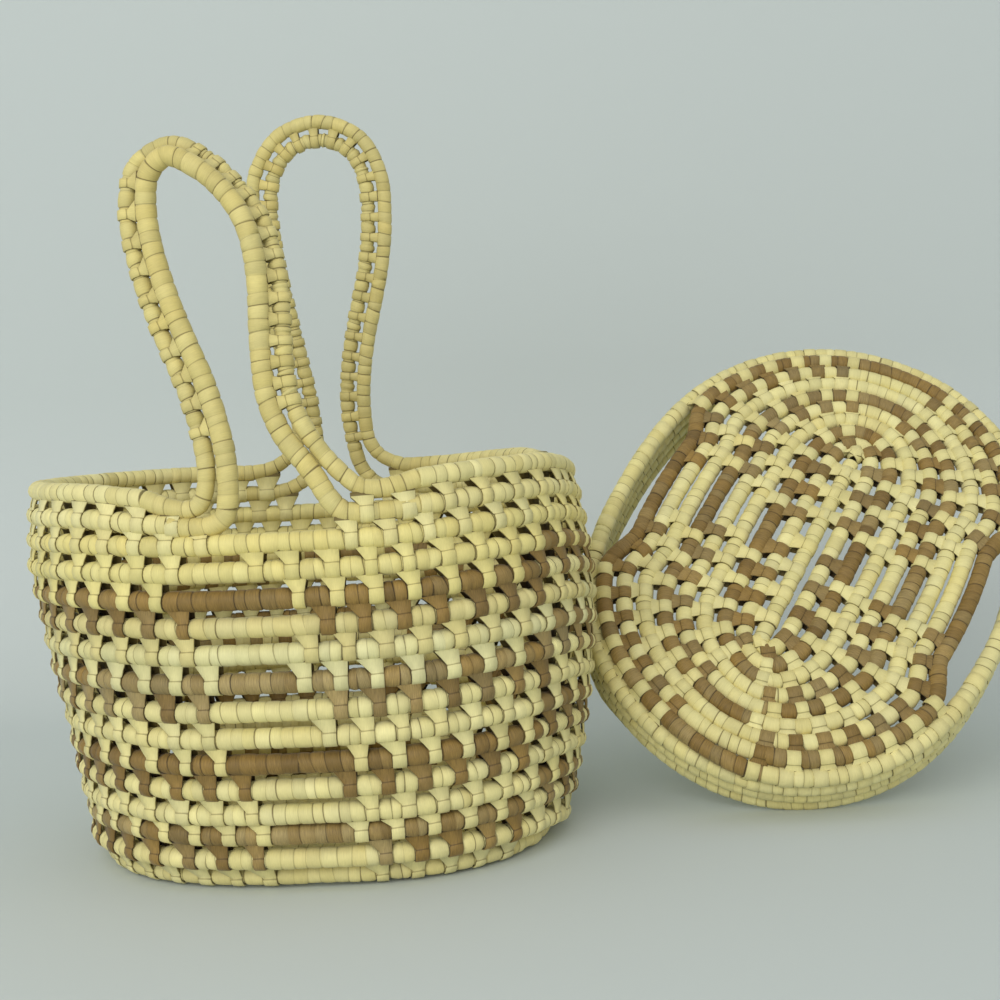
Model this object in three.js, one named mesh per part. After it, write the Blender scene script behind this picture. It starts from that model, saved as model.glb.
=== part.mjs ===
import * as THREE from 'three';

// Millimetres, Z up. The basket stands on z = 0 with its long axis along X.
// The lid stands off at its right, leaning back on its edge.

// Coil of the basket
const COIL_HALF_WIDTH = 5.5;
const COIL_HALF_HEIGHT = 4.9;
const BASE_COIL_HALF_WIDTH = 5;
const ROW_PITCH = 12.5;
const BASE_PITCH = 11.8;
const WALL_ROWS = 16;
const BROWN_ROWS = [3, 6, 9, 12];
const BASE_TURNS = 6;
const BASE_INNER_RADIUS = 12.2;
const FOOT_RADIUS = BASE_INNER_RADIUS + BASE_TURNS * BASE_PITCH;
const START_HALF_RUN = 31;
const BASE_START_HALF_RUN = 24;
const BASE_START_HALF_WIDTH = 6.2;
const END_ROUNDING = 0.35;
const TURN_STEP = 0.001;

// The wall's slope, as the angle above level against the distance up the wall
const SLOPE_AT = [-1, 13, 30, 60, 97, 130, 160, 190];
const SLOPE_DEG = [0, 76, 78, 80, 85, 89, 94, 98];
const SLOPE_STEP = 0.25;
const SLOPE_TOP = 195;

// The climb from one row to the next lies across the right end
const CLIMB_HALF_SHARE = 0.08;
const BASE_CLIMB_HALF_SHARE = 0.14;
const TURN_CUT = 0.045;
const CUT_GAP_SHARE = 0.0003;
const TIP_SHARE = 0.93;
const TIP_TAPER_SHARE = 0.035;
const TIP_SCALE = 0.45;

// Stitches that hold a row on the row below
const STITCHES_PER_TURN = 24;
const STITCH_CLEARANCE = 0.3;
const STITCH_HALF_WIDTH = 1.7;
const FREE_CENTRE = 0.231;
const FREE_HALF_SHARE = 0.033;
const FREE_DRIFT = 0.0054;

// Handles: two strands side by side. The line between them and the feet that bring
// each strand down to its row are seen from the front, as x and height above the rim.
const STRAND_SCALE = 0.86;
const STRAND_OFFSET = 4.9;
const STRAND_RINGS = 30;
const STRAND_TAPER_RINGS = 4;
const LINE_STEPS = 18;
const HANDLE_LEAN = 0.06;
const HANDLE_GAP = 0.8;
const FRONT_HANDLE = {
  line: [
    [-23, 22], [-25.5, 38], [-31.5, 57], [-38.5, 74], [-46, 95.5], [-51.5, 116], [-53.6, 130.5],
    [-52, 144], [-45.5, 153.5], [-36, 155.5], [-26.5, 151.5], [-17.5, 145], [-9.5, 136.5], [-3, 127.5],
    [2, 115], [4.7, 100], [5.4, 86], [5.2, 64], [7.2, 43], [13, 28], [25, 12], [37, 1.5],
  ],
  outer: [[[-58, 0], [-46, 0.3], [-36, 4.5], [-30.3, 12]], [[53, 0.8], [66, 0]]],
  inner: [[[-46, -12.3], [-34, -12], [-25, -8], [-20, 0], [-18.2, 11]], [[46, -10], [57, -12.3], [66, -12.3]]],
};
const BACK_HANDLE = {
  line: [
    [-22.5, 20], [-24, 40], [-27.5, 62], [-32, 88], [-36.2, 115], [-38.6, 142], [-38, 160],
    [-34, 174], [-25, 186], [-12.5, 192], [0.8, 192.6], [12.5, 188.3], [21, 179.5], [26, 167],
    [27.2, 153], [26, 132], [22, 110], [15.5, 87], [9.8, 62], [7.3, 40], [7.6, 26], [9.3, 14],
  ],
  outer: [[[-66, 0], [-53, 0.3], [-42, 3], [-33, 9.5]], [[20, 6.5], [31, 1], [43, 0]]],
  inner: [
    [[-60, -12.3], [-46, -12.3], [-35, -10.5], [-26, -5.5], [-20, 2], [-17.8, 11]],
    [[8, 0], [16, -9.5], [29, -12.2], [42, -12.3]],
  ],
};

// Lid, in its own frame: U along its length, V across it, W out of its top
const LID_COIL_HALF_WIDTH = 4;
const LID_COIL_HALF_HEIGHT = 4.15;
const LID_STITCH_CLEARANCE = 0.7;
const LID_COILS = 8;
const LID_BROWN = [2, 5, 8];
const LID_START_HALF_RUN = 60;
const RING_RADIUS = 110.8;
const LID_EDGE_FLAT = 1.6;
const LID_EDGE_RADIUS = 7;
const SLOT_BOW = 12.7;
const SLOT_HALF_LENGTH = 70;
const SLOT_END_SHARE = 0.5;
const SKIRT_ROWS = 3;
const SKIRT_PITCH = 9.9;
const LID_RINGS_PER_TURN = 30;
const LID_LEAN_DEG = 38;
const LID_TILT_DEG = 30;
const LID_TURN_DEG = 1;
const LID_CENTRE = [261, 71];

const RAIL_RINGS_PER_TURN = 36;
const HALVINGS = 50;
const SIDES = [[1, 0], [0.5, 1], [-0.5, 1], [-1, 0], [-0.5, -1], [0.5, -1]];

const CREAM = new THREE.MeshStandardMaterial({ color: 0xddd694, roughness: 0.75 });
CREAM.name = 'cream_leaf';
const BROWN = new THREE.MeshStandardMaterial({ color: 0x8b7042, roughness: 0.75 });
BROWN.name = 'brown_leaf';

const basket = new THREE.Group();
basket.name = 'lidded_coiled_basket';

const smooth = (x) => {
  const c = Math.min(1, Math.max(0, x));
  return c * c * (3 - 2 * c);
};

// Closed tube through rings of points, with flat ends
function tube(name, rings, material) {
  const n = rings[0].length;
  const points = rings.flat();
  const faces = [];
  for (let i = 0; i + 1 < rings.length; i += 1) {
    for (let k = 0; k < n; k += 1) {
      const a = i * n + k;
      const b = i * n + ((k + 1) % n);
      faces.push(a, b, b + n, a, b + n, a + n);
    }
  }
  const last = (rings.length - 1) * n;
  for (let k = 1; k + 1 < n; k += 1) {
    faces.push(0, k + 1, k, last, last + k, last + k + 1);
  }
  let volume = 0;
  for (let i = 0; i < faces.length; i += 3) {
    const [a, b, c] = [points[faces[i]], points[faces[i + 1]], points[faces[i + 2]]];
    volume += a.dot(new THREE.Vector3().crossVectors(b, c));
  }
  if (volume < 0) {
    for (let i = 0; i < faces.length; i += 3) {
      [faces[i + 1], faces[i + 2]] = [faces[i + 2], faces[i + 1]];
    }
  }
  const geometry = new THREE.BufferGeometry();
  geometry.setAttribute('position', new THREE.Float32BufferAttribute(points.flatMap((p) => [p.x, p.y, p.z]), 3));
  geometry.setIndex(faces);
  const flat = geometry.toNonIndexed();
  flat.computeVertexNormals();
  const mesh = new THREE.Mesh(flat, material);
  mesh.name = name;
  basket.add(mesh);
}

// The wall seen in section: radius and height against the distance up it
const profile = [];
{
  let radius = FOOT_RADIUS;
  let height = COIL_HALF_HEIGHT;
  for (let s = 0; s <= SLOPE_TOP; s += SLOPE_STEP) {
    profile.push([radius, height]);
    let i = 0;
    while (i + 2 < SLOPE_AT.length && s > SLOPE_AT[i + 1]) {
      i += 1;
    }
    const share = (s - SLOPE_AT[i]) / (SLOPE_AT[i + 1] - SLOPE_AT[i]);
    const slope = THREE.MathUtils.degToRad(SLOPE_DEG[i] + share * (SLOPE_DEG[i + 1] - SLOPE_DEG[i]));
    radius += Math.cos(slope) * SLOPE_STEP;
    height += Math.sin(slope) * SLOPE_STEP;
  }
}

function section(level) {
  if (level <= 0) {
    return [FOOT_RADIUS + level * BASE_PITCH, COIL_HALF_HEIGHT];
  }
  const at = Math.min((level * ROW_PITCH) / SLOPE_STEP, profile.length - 1.001);
  const i = Math.floor(at);
  const f = at - i;
  return [0, 1].map((k) => profile[i][k] * (1 - f) + profile[i + 1][k] * f);
}

// Row level at a number of turns, counted from the right end
function levelAt(turns) {
  const crossing = Math.round(turns);
  const past = turns - crossing;
  const half = crossing < 0 ? BASE_CLIMB_HALF_SHARE : CLIMB_HALF_SHARE;
  return crossing - 1 + smooth((past + half) / (2 * half));
}

// Oval plan of the given radius round a straight run
function oval(turns, radius, halfRun) {
  const a = turns * 2 * Math.PI;
  const c = Math.cos(a);
  return [radius * c + (halfRun * c) / Math.sqrt(c * c + END_ROUNDING ** 2), -radius * Math.sin(a)];
}

function coilPoint(turns) {
  const [radius, height] = section(levelAt(turns));
  const [x, y] = oval(turns, radius, START_HALF_RUN);
  return new THREE.Vector3(x, y, height);
}

// Level, outward direction square to the coil
function outward(point, from, to) {
  const side = new THREE.Vector3(to.y - from.y, from.x - to.x, 0).normalize();
  return side.dot(new THREE.Vector3(point.x, point.y, 0)) < 0 ? side.negate() : side;
}

// The middle of the front and of the back has no stitches
const isFree = (turns) => {
  const past = (turns - FREE_CENTRE - FREE_DRIFT * levelAt(turns)) * 2;
  return Math.abs(past - Math.round(past)) < FREE_HALF_SHARE * 2;
};

function coilRing(turns, stitched, scale) {
  const p = coilPoint(turns);
  const side = outward(p, coilPoint(turns - TURN_STEP), coilPoint(turns + TURN_STEP));
  const level = levelAt(turns);
  const drop = p.z - section(level - 1)[1] - 2 * COIL_HALF_HEIGHT - STITCH_CLEARANCE;
  const reach = stitched && drop > 0 && !isFree(turns) ? drop : 0;
  return SIDES.map(([a, b]) => {
    const low = b < 0 && reach > 0;
    const half = level < 0 ? BASE_COIL_HALF_WIDTH : COIL_HALF_WIDTH;
    const across = low ? Math.sign(a) * STITCH_HALF_WIDTH : a * half * scale;
    const up = b * COIL_HALF_HEIGHT * scale - (low ? reach : 0);
    return p.clone().addScaledVector(side, across).add(new THREE.Vector3(0, 0, up));
  });
}

function coilRun(name, from, to, ringsPerTurn, hasStitches, material, tip) {
  const count = Math.max(3, Math.round((to - from) * ringsPerTurn));
  const rings = [];
  for (let i = 0; i <= count; i += 1) {
    const turns = from + ((to - from) * i) / count;
    const inner = i > 0 && i < count;
    const left = tip ? smooth((to - turns) / TIP_TAPER_SHARE) : 1;
    rings.push(coilRing(turns, hasStitches && inner && i % 2 === 1, TIP_SCALE + (1 - TIP_SCALE) * left));
  }
  tube(name, rings, material);
}

// Base: a straight start run, then flat turns out to the foot
const startRings = [-BASE_START_HALF_RUN, BASE_START_HALF_RUN].map((x) => SIDES.map(
  ([a, b]) => new THREE.Vector3(x, a * BASE_START_HALF_WIDTH, COIL_HALF_HEIGHT * (1 + b)),
));
tube('base_start_run', startRings, CREAM);
for (let turn = 1; turn <= BASE_TURNS; turn += 1) {
  const from = turn - 1 - BASE_TURNS + (turn === 1 ? BASE_CLIMB_HALF_SHARE : TURN_CUT) + CUT_GAP_SHARE;
  const to = turn - BASE_TURNS + TURN_CUT - CUT_GAP_SHARE;
  coilRun(`base_coil_${turn}`, from, to, RAIL_RINGS_PER_TURN, false, CREAM, false);
}

// Wall rows, named from the floor up
for (let row = 1; row <= WALL_ROWS - 2; row += 1) {
  const from = row - 1 + TURN_CUT + CUT_GAP_SHARE;
  const to = row + TURN_CUT - CUT_GAP_SHARE;
  const rings = row > 2 ? STITCHES_PER_TURN * 2 : RAIL_RINGS_PER_TURN;
  const material = BROWN_ROWS.includes(row) ? BROWN : CREAM;
  coilRun(`wall_coil_${String(row).padStart(2, '0')}`, from, to, rings, row > 2, material, false);
}

// Number of turns at which a row passes a given x, in front or behind
function turnsAtX(row, x, behind) {
  let low = row - 1 + (behind ? 0.5 : CLIMB_HALF_SHARE);
  let high = row - 1 + (behind ? 1 - CLIMB_HALF_SHARE : 0.5);
  for (let i = 0; i < HALVINGS; i += 1) {
    const middle = (low + high) / 2;
    const isLeft = coilPoint(middle).x < x;
    if (isLeft === behind) {
      low = middle;
    } else {
      high = middle;
    }
  }
  return (low + high) / 2;
}

// A strand's points: its left foot, the handle's line moved to one side, and its right foot
function strandPoints(handle, which) {
  const line = new THREE.CatmullRomCurve3(
    handle.line.map(([x, z]) => new THREE.Vector3(x, 0, z)),
    false,
    'centripetal',
  );
  const offset = which === 'outer' ? STRAND_OFFSET : -STRAND_OFFSET;
  const middle = [];
  for (let i = 0; i <= LINE_STEPS; i += 1) {
    const p = line.getPointAt(i / LINE_STEPS);
    const along = line.getTangentAt(i / LINE_STEPS);
    middle.push([p.x - along.z * offset, p.z + along.x * offset]);
  }
  return [...handle[which][0], ...middle, ...handle[which][1]];
}

// Rim: the top two rows, cut by the handles into three runs each
const strands = {
  upper: [strandPoints(FRONT_HANDLE, 'outer'), strandPoints(BACK_HANDLE, 'outer')],
  lower: [strandPoints(FRONT_HANDLE, 'inner'), strandPoints(BACK_HANDLE, 'inner')],
};
const TOP = { lower: WALL_ROWS - 1, upper: WALL_ROWS };
for (const [level, [front, back]] of Object.entries(strands)) {
  const row = TOP[level];
  const end = level === 'upper' ? row - 1 + TIP_SHARE : row + TURN_CUT - CUT_GAP_SHARE;
  const stops = [
    row - 1 + TURN_CUT + CUT_GAP_SHARE,
    turnsAtX(row, front.at(-1)[0] + HANDLE_GAP, false),
    turnsAtX(row, front[0][0] - HANDLE_GAP, false),
    turnsAtX(row, back[0][0] - HANDLE_GAP, true),
    turnsAtX(row, back.at(-1)[0] + HANDLE_GAP, true),
    end,
  ];
  const rings = STITCHES_PER_TURN * 2;
  coilRun(`rim_${level}_front_right`, stops[0], stops[1], rings, true, CREAM, false);
  coilRun(`rim_${level}_left`, stops[2], stops[3], rings, true, CREAM, false);
  coilRun(`rim_${level}_back_right`, stops[4], stops[5], rings, true, CREAM, level === 'upper');
}

// Handles: each strand leaves its rim row, rises and comes back to the same row
function strand(name, points, row, behind) {
  const rimHeight = coilPoint(TOP.upper - 0.5).z;
  const sign = behind ? 1 : -1;
  const path = points.map(([x, z], i) => {
    const plan = coilPoint(turnsAtX(row, x, behind));
    const isEnd = i === 0 || i === points.length - 1;
    const rise = Math.max(0, z);
    const height = isEnd ? plan.z : rimHeight + z;
    return new THREE.Vector3(x, plan.y - sign * HANDLE_LEAN * rise, height);
  });
  const curve = new THREE.CatmullRomCurve3(path, false, 'centripetal');
  const rings = [];
  for (let i = 0; i <= STRAND_RINGS; i += 1) {
    const share = i / STRAND_RINGS;
    const p = curve.getPointAt(share);
    const along = curve.getTangentAt(share);
    const away = new THREE.Vector3(0, sign, 0).addScaledVector(along, -along.y * sign).normalize();
    const inPlane = new THREE.Vector3().crossVectors(along, away);
    const near = Math.min(share, 1 - share) * STRAND_RINGS / STRAND_TAPER_RINGS;
    const scale = STRAND_SCALE + (1 - STRAND_SCALE) * (1 - smooth(near));
    rings.push(SIDES.map(([a, b]) => p.clone()
      .addScaledVector(away, a * COIL_HALF_WIDTH * scale)
      .addScaledVector(inPlane, b * COIL_HALF_HEIGHT * scale)));
  }
  tube(name, rings, CREAM);
}
strand('front_handle_outer_strand', strands.upper[0], TOP.upper, false);
strand('front_handle_inner_strand', strands.lower[0], TOP.lower, false);
strand('back_handle_outer_strand', strands.upper[1], TOP.upper, true);
strand('back_handle_inner_strand', strands.lower[1], TOP.lower, true);

// Lid frame: leaning back, then tilted in its own plane, then turned about the upright
const lean = THREE.MathUtils.degToRad(LID_LEAN_DEG);
const tilt = THREE.MathUtils.degToRad(LID_TILT_DEG);
const turned = THREE.MathUtils.degToRad(LID_TURN_DEG);
const UPRIGHT = new THREE.Vector3(0, 0, 1);
const slopeUp = new THREE.Vector3(0, Math.sin(lean), Math.cos(lean));
const level = new THREE.Vector3(1, 0, 0);
const lidU = slopeUp.clone().multiplyScalar(Math.cos(tilt)).addScaledVector(level, Math.sin(tilt));
const lidV = level.clone().multiplyScalar(Math.cos(tilt)).addScaledVector(slopeUp, -Math.sin(tilt));
lidU.applyAxisAngle(UPRIGHT, turned);
lidV.applyAxisAngle(UPRIGHT, turned);
const lidW = new THREE.Vector3().crossVectors(lidV, lidU).negate();
if (lidW.y > 0) {
  lidW.negate();
}

// Plan of the lid's rows: the ring follows the rim, the panel lies inside it
function ringPlan(turns) {
  return oval(turns, RING_RADIUS, START_HALF_RUN);
}

// The lid seen in section past the panel: how far in from the ring, and how deep
function lidEdge(row) {
  const along = Math.max(0, row - LID_COILS) * SKIRT_PITCH;
  const angle = Math.min(Math.PI / 2, Math.max(0, along - LID_EDGE_FLAT) / LID_EDGE_RADIUS);
  const straight = Math.max(0, along - LID_EDGE_FLAT - (LID_EDGE_RADIUS * Math.PI) / 2);
  const out = Math.min(along, LID_EDGE_FLAT) + LID_EDGE_RADIUS * Math.sin(angle);
  return [
    LID_EDGE_FLAT + LID_EDGE_RADIUS - out,
    -LID_EDGE_RADIUS * (1 - Math.cos(angle)) - straight,
  ];
}

// Outward direction square to a plan line
function outwardInPlan(plan, turns) {
  const [u, v] = plan(turns);
  const [u0, v0] = plan(turns - TURN_STEP);
  const [u1, v1] = plan(turns + TURN_STEP);
  const length = Math.hypot(u1 - u0, v1 - v0);
  const sign = (v1 - v0) * u + (u0 - u1) * v < 0 ? -1 : 1;
  return [(sign * (v1 - v0)) / length, (sign * (u0 - u1)) / length];
}

function insetPlan(turns, inset) {
  const [u, v] = ringPlan(turns);
  const [su, sv] = outwardInPlan(ringPlan, turns);
  return [u - su * inset, v - sv * inset];
}

function lidPlan(turns) {
  const row = levelAt(turns);
  const open = smooth((SLOT_HALF_LENGTH - Math.abs(ringPlan(turns)[0])) / (SLOT_HALF_LENGTH * SLOT_END_SHARE));
  const share = Math.min(1, row / LID_COILS);
  const bow = SLOT_BOW * open * share * Math.max(0, Math.min(1, LID_COILS + 1 - row));
  const [edgeU, edgeV] = insetPlan(turns, lidEdge(row)[0] + bow);
  const startU = oval(turns, 0, LID_START_HALF_RUN)[0];
  return [startU * (1 - share) + edgeU * share, edgeV * share];
}

function lidRings(points) {
  return points.map(([u, v, w, su, sv, reach]) => SIDES.map(([a, b]) => {
    const across = a * LID_COIL_HALF_WIDTH - (a === -1 ? reach : 0);
    return new THREE.Vector3(u + su * across, v + sv * across, w + b * LID_COIL_HALF_HEIGHT);
  }));
}

// How far a stitch reaches in to the row before
function lidReach(turns, u, v, su, sv) {
  const row = levelAt(turns);
  if (row > LID_COILS + LID_STITCH_CLEARANCE) {
    return 0;
  }
  const inner = row < 1.5 ? [Math.min(Math.max(u, -LID_START_HALF_RUN), LID_START_HALF_RUN), 0] : lidPlan(turns - 1);
  const gap = (u - inner[0]) * su + (v - inner[1]) * sv - 2 * LID_COIL_HALF_WIDTH - LID_STITCH_CLEARANCE;
  const overStart = row >= 1.5 || Math.abs(u) < LID_START_HALF_RUN - 3 * LID_COIL_HALF_WIDTH;
  return overStart && gap > 0 ? gap : 0;
}

function lidCoil(from, to) {
  const count = Math.round((to - from) * LID_RINGS_PER_TURN);
  const points = [];
  for (let i = 0; i <= count; i += 1) {
    const turns = from + ((to - from) * i) / count;
    const [u, v] = lidPlan(turns);
    const [su, sv] = outwardInPlan(lidPlan, turns);
    const reach = i % 2 === 1 && i < count ? lidReach(turns, u, v, su, sv) : 0;
    points.push([u, v, lidEdge(levelAt(turns))[1], su, sv, reach]);
  }
  return lidRings(points);
}

const lidPieces = [];
lidPieces.push(['lid_start_run', CREAM, lidRings(
  [-1, 1].map((end) => [end * (LID_START_HALF_RUN - 2 * LID_COIL_HALF_WIDTH), 0, 0, 0, 1, 0]),
)]);
for (let turn = 1; turn <= LID_COILS; turn += 1) {
  const from = turn + (turn === 1 ? CLIMB_HALF_SHARE : TURN_CUT) + CUT_GAP_SHARE;
  const material = LID_BROWN.includes(turn) ? BROWN : CREAM;
  lidPieces.push([`lid_coil_${turn}`, material, lidCoil(from, turn + 1 + TURN_CUT - CUT_GAP_SHARE)]);
}
for (let row = 0; row <= SKIRT_ROWS; row += 1) {
  const turn = LID_COILS + 1 + row;
  const name = row === 0 ? 'lid_ring_coil' : `lid_skirt_coil_${row}`;
  const to = turn + (row === SKIRT_ROWS ? TIP_SHARE : 1 + TURN_CUT - CUT_GAP_SHARE);
  lidPieces.push([name, CREAM, lidCoil(turn + TURN_CUT + CUT_GAP_SHARE, to)]);
}

// The lid's rows change at its lower end. Its lowest point is on the floor.
const toWorld = (p) => new THREE.Vector3(LID_CENTRE[0], LID_CENTRE[1], 0)
  .addScaledVector(lidU, -p.x).addScaledVector(lidV, -p.y).addScaledVector(lidW, p.z);
const placed = lidPieces.map(([name, material, rings]) => [name, material, rings.map((r) => r.map(toWorld))]);
const lowest = Math.min(...placed.flatMap(([, , rings]) => rings.flat().map((p) => p.z)));
for (const [name, material, rings] of placed) {
  for (const p of rings.flat()) {
    p.z -= lowest;
  }
  tube(name, rings, material);
}

export default basket;
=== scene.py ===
import math

import bpy
import numpy as np
from bpy.props import FloatProperty, FloatVectorProperty, IntProperty, PointerProperty
from mathutils import Matrix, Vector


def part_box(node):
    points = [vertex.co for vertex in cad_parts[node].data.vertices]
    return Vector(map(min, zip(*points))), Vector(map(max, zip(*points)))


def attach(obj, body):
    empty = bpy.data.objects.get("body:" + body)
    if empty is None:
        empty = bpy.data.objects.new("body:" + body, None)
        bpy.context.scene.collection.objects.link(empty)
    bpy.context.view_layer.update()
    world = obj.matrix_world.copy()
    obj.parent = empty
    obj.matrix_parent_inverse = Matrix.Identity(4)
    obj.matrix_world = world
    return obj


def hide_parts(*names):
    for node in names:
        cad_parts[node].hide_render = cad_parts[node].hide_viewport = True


bl_info = {
    "name": "Lidded coiled basket",
    "version": (1, 0, 0),
    "blender": (4, 5, 0),
    "location": "3D View > Sidebar > Basket",
    "description": "Weaves an oval coiled palm-leaf basket with two arch handles and its loose lid",
    "category": "Add Mesh",
}

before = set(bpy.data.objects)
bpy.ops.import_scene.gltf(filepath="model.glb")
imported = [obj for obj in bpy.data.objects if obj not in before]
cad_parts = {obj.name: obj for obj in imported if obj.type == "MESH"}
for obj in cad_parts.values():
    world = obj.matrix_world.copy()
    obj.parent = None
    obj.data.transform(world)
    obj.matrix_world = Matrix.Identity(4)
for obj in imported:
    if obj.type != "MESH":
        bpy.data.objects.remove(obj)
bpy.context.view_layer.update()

# Lengths are millimetres, and meshes are scaled to metres when they are made
MM = 0.001
TURN = 2 * math.pi
TURN_STEP = 0.001
DENSE = 400

# The basket's coil, as it is wound
COIL_HALF_WIDTH = 5.1
COIL_HALF_HEIGHT = 4.6
BASE_HALF_HEIGHT = 4.75
FLOOR_LIFT = 4.9
ROW_PITCH = 12.5
BASE_PITCH = 11.8
BASE_TURNS = 6
BASE_INNER_RADIUS = 12.2
FOOT_RADIUS = BASE_INNER_RADIUS + BASE_TURNS * BASE_PITCH
WALL_ROWS = 16
START_HALF_RUN = 31
BASE_START_HALF_RUN = 24
BASE_HOOK = ((30, -0.3), (35.4, -2.4), (37.3, -5.8), (34.95, -9.4))
END_ROUNDING = 0.35
SLOPE_AT = (-1, 13, 30, 60, 97, 130, 160, 190)
SLOPE_DEG = (0, 76, 78, 80, 85, 89, 94, 98)
SLOPE_STEP = 0.25
SLOPE_TOP = 195
CLIMB_HALF_SHARE = 0.08
BASE_CLIMB_HALF_SHARE = 0.14
TURN_CUT = 0.045
TIP_SHARE = 0.93
TIP_TAPER = 28
TIP_SCALE = 0.45

# Unevenness of the hand work, in millimetres. The front and both ends stand higher than an
# even form, the left end leans in half way up, the right end leans in at the top and the
# front handle's left foot pulls the rim down.
LIFT_AT = (0, 1, 2, 3, 7, 9, 13, 15)
FRONT_LIFT = (1.7, 4.5, 4.8, 2.7, 3, 4.5, 4.3, 3.2)
LEFT_LIFT = 1.5
RIGHT_LIFT = 3.8
LEFT_AT = (0, 2, 6, 10, 12, 15)
LEFT_OUT = (0, -4, -6, -1, 3, 3.5)
RIGHT_IN = 6
FOOT_PULL = 3.2
FOOT_PULL_AT = -45
FOOT_PULL_REACH = 28

# Stitches. A free run, in millimetres from the middle of the front, has none. Free runs are
# given for each row, counted down from the top.
STITCH_PITCH = 16.7
STITCH_EDGE = 4
FREE_FRONT = {
    3: (-26, 32), 4: (-40, -10), 5: (-49, 8), 6: (-37, 20), 7: (-36, 12), 8: (-26, 8),
    9: (-31, 23), 10: (-30, 17), 11: (-26, 30), 12: (-16, 24), 13: (-14, 33), 14: (-10, 27),
    15: (-14, 37), 16: (-12, 35),
}
FREE_BACK_HALF = 11
HANDLE_GAP_BACK = (-34, 20)
TOP_FRONT_GAP = (-43, 43)
TOP_BACK_GAP = (-48, 30)
BASE_FAN = 3.5

# Handles: the line between the two strands and the feet of each strand, seen from
# the front, as x and height above the rim. The band of two strands turns on its side, by
# the twist in degrees, at places given as a share of the line. Its stitches run between
# two shares, at a pitch, round one strand, with a fan of a width and a lean. At both ends
# a strand is as thick as the coil at first, and then thins over the length of its foot.
TWIST_AT = (0, 0.40, 0.50, 0.62, 0.72, 0.82, 1)
STRAND_OFFSET = 4.9
HANDLE_LEAN = 0.06
STRAND_ROWS = {"outer": WALL_ROWS, "inner": WALL_ROWS - 1}
HANDLE_FOOT = 22
FOOT_FULL = 8
HANDLE_BAND = 2.4
HANDLE_BEAD = 0.1
FRONT_HANDLE = {
    "radii": {"outer": 4.0, "inner": 4.7},
    "twist": (0, 0, 50, 62, 45, 15, 0),
    "stitches": (
        (0.03, 0.46, 12.8, "outer", 5.5, 0.3),
        (0.54, 0.98, 9.4, "outer", 2.5, 0.5),
    ),
    "line": (
        (-23.5, 22), (-27, 38), (-33, 57), (-40, 74), (-47.5, 95.5), (-52.5, 116), (-54, 130.5),
        (-52, 144), (-45.5, 153.5), (-36, 155.5), (-26.5, 151.5), (-17.5, 145), (-9.5, 136.5),
        (-3, 127.5), (2, 115), (4.7, 100), (5.4, 86), (5.2, 64), (7.2, 43), (13, 28),
    ),
    "outer": (
        ((-58, 0), (-48, -2.8), (-39, -4.4), (-32, -2.8), (-28.7, 4), (-27.6, 13)),
        ((26.2, 16.5), (34.2, 7.5), (41.4, 1.8), (49, 0.8), (57, 1.8), (66, 3)),
    ),
    "inner": (
        (
            (-46, -12.4), (-38, -12.5), (-31, -12.6), (-25, -11.6), (-19.8, -7.8), (-17.9, 0.8),
            (-17.6, 11),
        ),
        ((15.5, 16.5), (21.8, 7.3), (28, -3.3), (33.5, -8.3), (41, -9.4), (51.4, -9.2), (66, -9.2)),
    ),
}
BACK_HANDLE = {
    "radii": {"outer": 3.9, "inner": 4.1},
    "twist": (0, 0, 0, 0, 0, 0, 0),
    "stitches": ((0.02, 0.99, 11.5, "inner", 1.5, 0.5),),
    "line": (
        (-22.5, 20), (-24, 40), (-27.5, 62), (-32, 88), (-36.2, 115), (-38.6, 142), (-38, 160),
        (-34, 174), (-25, 186), (-12.5, 192), (0.8, 192.6), (12.5, 188.3), (21, 179.5), (26, 167),
        (27.2, 153), (26, 132), (22, 110), (15.5, 87), (9.8, 62), (7.3, 40), (7.6, 26), (9.3, 14),
    ),
    "outer": (
        ((-66, 0), (-58, 0), (-50, 0.8), (-42, 3), (-33, 9.5)),
        ((20, 6.5), (31, 1), (37, 0), (43, 0), (50, 0)),
    ),
    "inner": (
        ((-60, -12.3), (-46, -12.3), (-35, -10.5), (-26, -5.5), (-20, 2), (-17.8, 11)),
        ((8, 0), (16, -9.5), (24, -12), (33, -12.3), (42, -12.3)),
    ),
}
LINE_STEPS = 18
STRAND_STEPS = 240

# Lid, in its own frame: U along its length, V across it, W out of its top
LID_HALF_WIDTH = 4.6
LID_HALF_HEIGHT = 4.4
LID_COILS = 8
LID_START_HALF_RUN = 70
LID_HOOK = ((65.3, -0.2), (70.1, -1.7), (72.5, -4.1), (71.8, -6.14))
RING_RADIUS = 110.8
LID_EDGE_FLAT = 1.6
LID_EDGE_RADIUS = 7
SLOT_BOW = 12.7
SLOT_HALF_LENGTH = 70
SLOT_END_SHARE = 0.5
SKIRT_ROWS = 3
SKIRT_PITCH = 9.9
LID_LEAN_DEG = 38
LID_TILT_DEG = 30
LID_TURN_DEG = 1
LID_STITCH_PITCH = 17.5
LID_STITCH_REACH = 14.5
LID_FREE_HALF = 26
LID_FIRST_QUARTER = 5
LID_FAN = 3.6
LID_BAND = 3.7

# Rows and lid turns of dyed leaf, and how far into a row its colour starts
BROWN_ROWS = (3, 6, 9, 12)
COLOUR_LAG = 0.10
LID_BROWN = (2, 5, 8)
rng = np.random.default_rng(11)


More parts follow.
